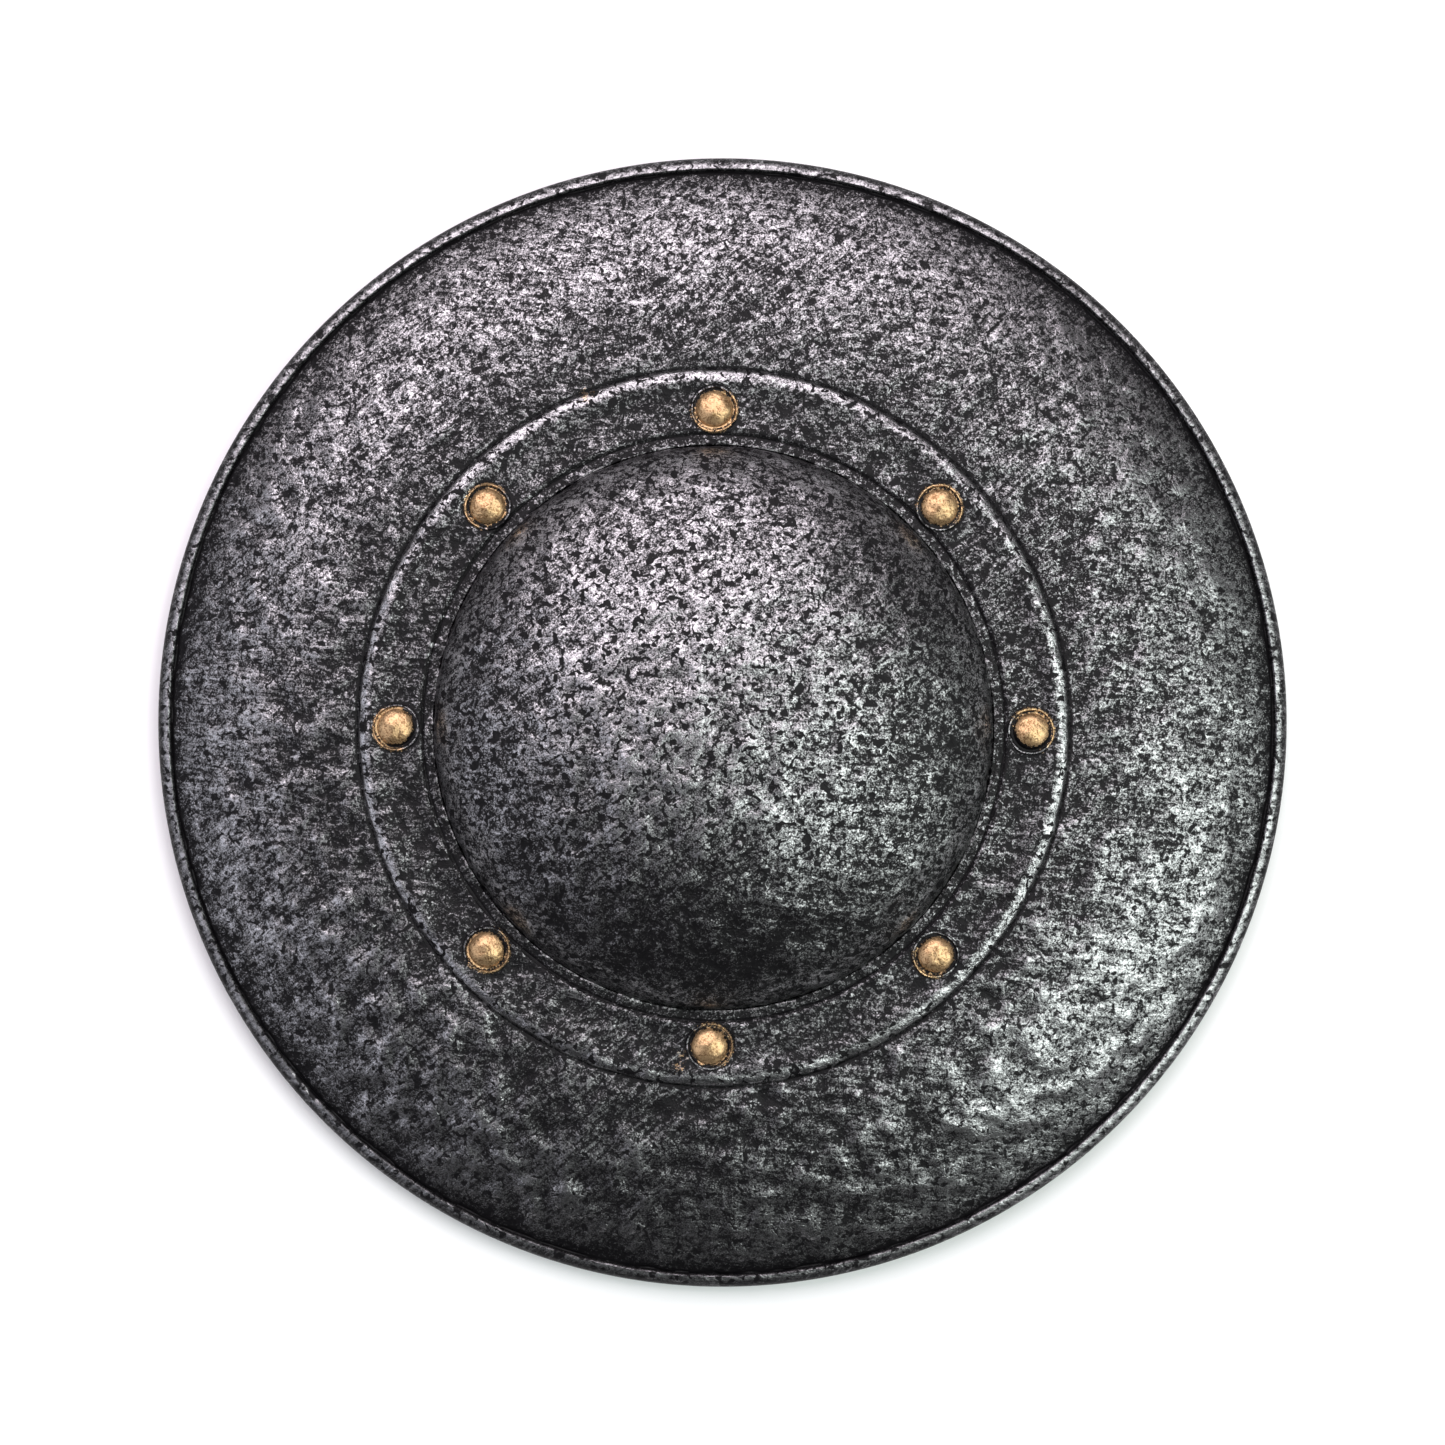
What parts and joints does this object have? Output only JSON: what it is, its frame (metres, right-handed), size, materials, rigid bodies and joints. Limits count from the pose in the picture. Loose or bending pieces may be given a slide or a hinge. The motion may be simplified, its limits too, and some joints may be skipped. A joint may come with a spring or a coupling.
{
  "type": "buckler shield",
  "caption": "Round moulded foam buckler with a domed boss, a ring of cast stud heads, a sloping brim, a beaded rim and a strap grip behind.",
  "frame": {"origin": "on the rim's axis, in the plane that the rim rests on", "axes": "+Z out of the shield's face towards the boss, +Y towards the picture's top along the grip, +X towards the picture's right"},
  "size_m": [0.36, 0.36, 0.0586],
  "materials": {
    "painted_foam": "black latex skin dry-brushed with silver paint, gold paint on the stud heads",
    "grip_leather": "dark brown, matte",
    "rivet_steel": "darkened, satin"
  },
  "bodies": {
    "root": {"shield_body": "painted_foam", "grip": "grip_leather", "grip_rivet_1": "rivet_steel", "grip_rivet_2": "rivet_steel", "grip_rivet_3": "rivet_steel", "grip_rivet_4": "rivet_steel"}
  },
  "joints": []
}
